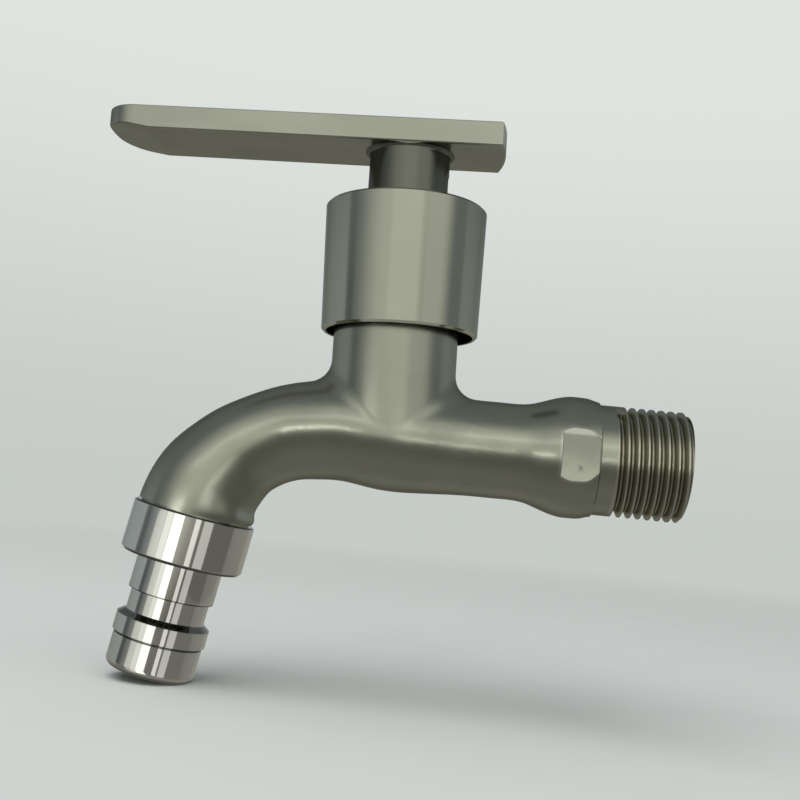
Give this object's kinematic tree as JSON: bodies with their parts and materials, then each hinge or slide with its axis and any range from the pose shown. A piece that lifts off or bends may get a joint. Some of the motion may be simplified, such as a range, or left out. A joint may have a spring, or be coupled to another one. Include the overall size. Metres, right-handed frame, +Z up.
{
  "type": "washing machine tap",
  "caption": "Wall tap with a flat lever, quarter-turn valve, swan-neck spout, screwed hose nozzle and threaded inlet.",
  "frame": {"origin": "centre of the shoulder where the threaded inlet spigot leaves the body", "axes": "+X along the inlet into the wall, +Z up, spout and lever towards -X, Y across"},
  "size_m": [0.1173, 0.0314, 0.1112],
  "materials": {
    "cast_steel": "satin",
    "brushed_steel": "brushed",
    "polished_steel": "polished",
    "fastener_steel": "plain",
    "cartridge_brass": "turned",
    "ceramic": "lapped",
    "seal_rubber": "matt",
    "bearing_plastic": "matt"
  },
  "bodies": {
    "tap_body": {"body": "cast_steel", "cartridge_housing": "cartridge_brass", "cartridge_gasket": "seal_rubber", "bonnet_cover": "brushed_steel", "fixed_disc": "ceramic", "seat_seal": "seal_rubber", "seal_support_ring": "bearing_plastic", "thrust_washer": "bearing_plastic", "friction_washer": "bearing_plastic", "hose_nozzle": "polished_steel", "nozzle_washer": "seal_rubber"},
    "handle_assembly": {"handle": "brushed_steel", "handle_grub_screw": "fastener_steel", "spindle": "cartridge_brass", "spindle_circlip": "fastener_steel", "spindle_o_ring_lower": "seal_rubber", "spindle_o_ring_upper": "seal_rubber", "moving_disc": "ceramic"}
  },
  "joints": [
    {"name": "handle_turn", "type": "hinge", "parent": "tap_body", "child": "handle_assembly", "pos_m": [-0.0385, 0, 0], "axis": [-0.0366, 0, 0.9993], "range_deg": [0, 90]}
  ]
}
